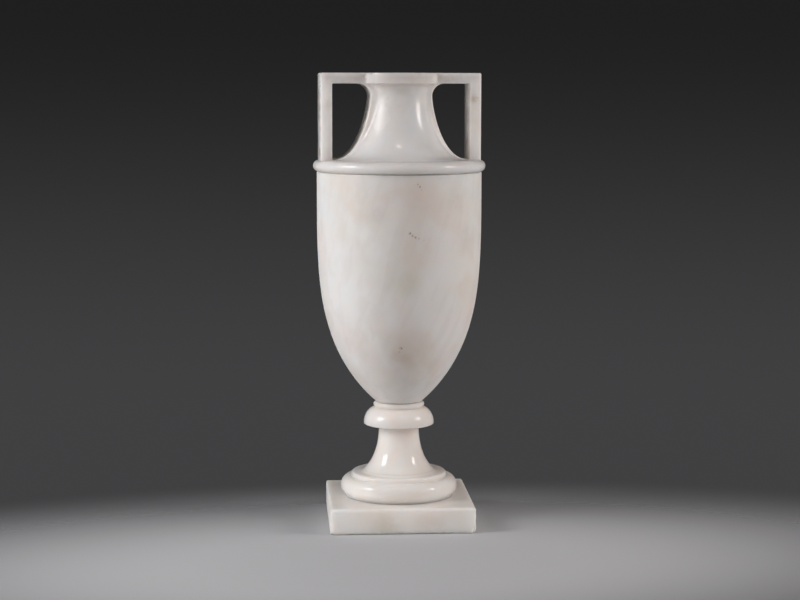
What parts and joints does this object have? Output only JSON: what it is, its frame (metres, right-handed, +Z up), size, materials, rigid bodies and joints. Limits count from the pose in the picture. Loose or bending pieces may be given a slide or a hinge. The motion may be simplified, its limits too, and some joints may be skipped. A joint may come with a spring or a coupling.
{
  "type": "two-handled alabaster vase",
  "caption": "Tall hollow alabaster vase: ovoid cup on a turned foot and square plinth, with a narrow neck between two square strap handles.",
  "frame": {"origin": "middle of the plinth's underside, on the axis that the foot, cup and neck were turned on", "axes": "+Z up the turning axis; the handles stand along X; the front and the back look along -Y and +Y"},
  "size_m": [0.191, 0.191, 0.5],
  "materials": {
    "plinth_alabaster": "polished, dulled on top by handling",
    "foot_alabaster": "polished, warm cream",
    "cup_alabaster": "polished, clouded, translucent",
    "neck_alabaster": "polished, cool white with tool marks"
  },
  "bodies": {
    "root": {"plinth": "plinth_alabaster", "foot": "foot_alabaster", "cup": "cup_alabaster", "neck": "neck_alabaster"}
  },
  "joints": []
}
